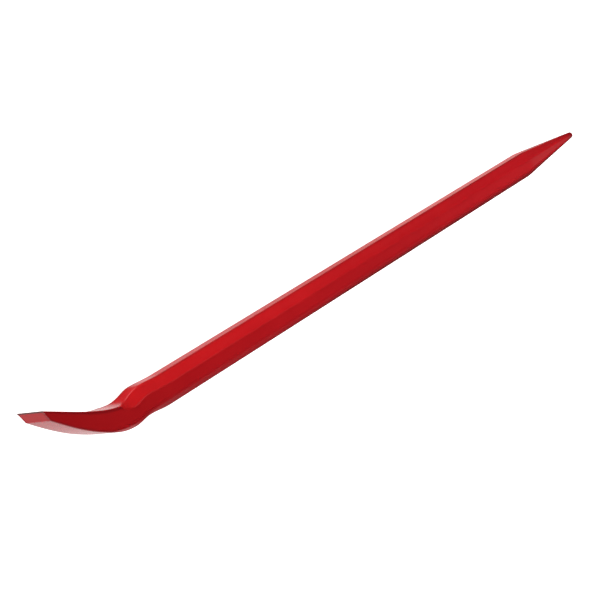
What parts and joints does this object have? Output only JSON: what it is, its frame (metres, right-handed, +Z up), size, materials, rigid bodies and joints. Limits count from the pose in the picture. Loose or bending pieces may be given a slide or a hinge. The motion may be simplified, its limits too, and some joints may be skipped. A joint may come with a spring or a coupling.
{
  "type": "podger bar",
  "caption": "Forged octagonal steel bar painted red, with a blunt taper point at one end and a curved chisel heel at the other.",
  "frame": {"origin": "under the middle of the bar's bounding box, on the plane that the shank's side flat rests on", "axes": "+X along the shank towards the blunt point, +Y across the shank towards the side that the heel curls to, +Z up from the flat that it rests on"},
  "size_m": [0.742, 0.0426, 0.022],
  "materials": {
    "red_paint": "gloss"
  },
  "bodies": {
    "root": {"forged_bar": "red_paint"}
  },
  "joints": []
}
